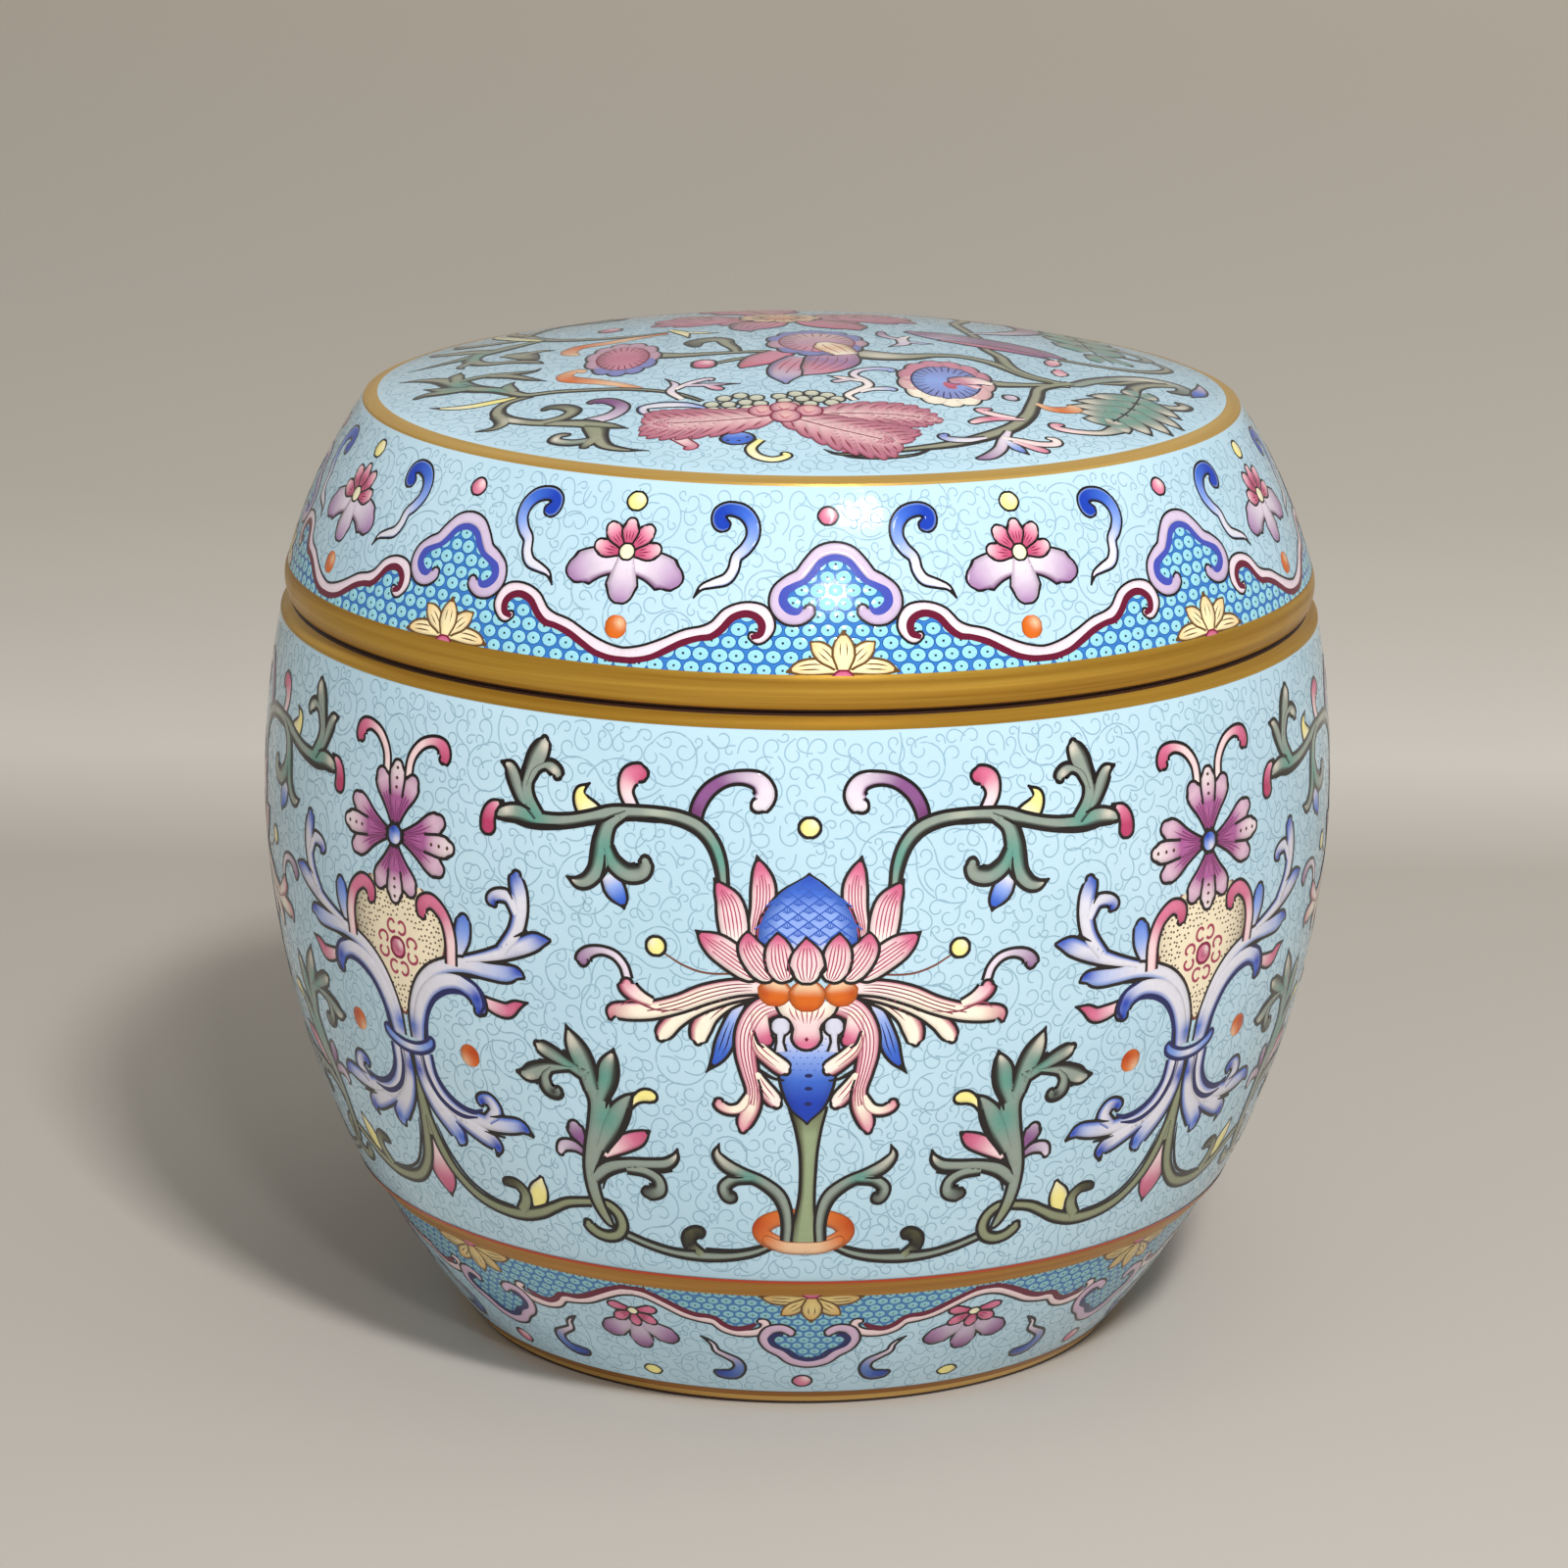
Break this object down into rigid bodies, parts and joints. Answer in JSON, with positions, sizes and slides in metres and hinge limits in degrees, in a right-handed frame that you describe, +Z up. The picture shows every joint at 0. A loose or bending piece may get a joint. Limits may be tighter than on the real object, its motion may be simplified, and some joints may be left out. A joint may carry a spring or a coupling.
{
  "type": "lidded porcelain jar",
  "caption": "Drum-shaped porcelain jar, hollow, with a recessed foot and a domed lift-off lid over an inner collar; painted enamel scrollwork.",
  "frame": {"origin": "centre of the foot, on the surface that the jar stands on", "axes": "+Z up along the axis that the jar and lid are turned about; -Y is the side with the lotus that faces the camera"},
  "size_m": [0.1676, 0.1676, 0.1563],
  "materials": {
    "jar_glaze": "glossy pale blue enamel with an incised scroll ground, painted flowers and matt-gold bands",
    "lid_glaze": "glossy pale blue enamel with an incised scroll ground, painted flowers and matt-gold bands"
  },
  "bodies": {
    "root": {"jar_body": "jar_glaze", "lid": "lid_glaze"}
  },
  "joints": []
}
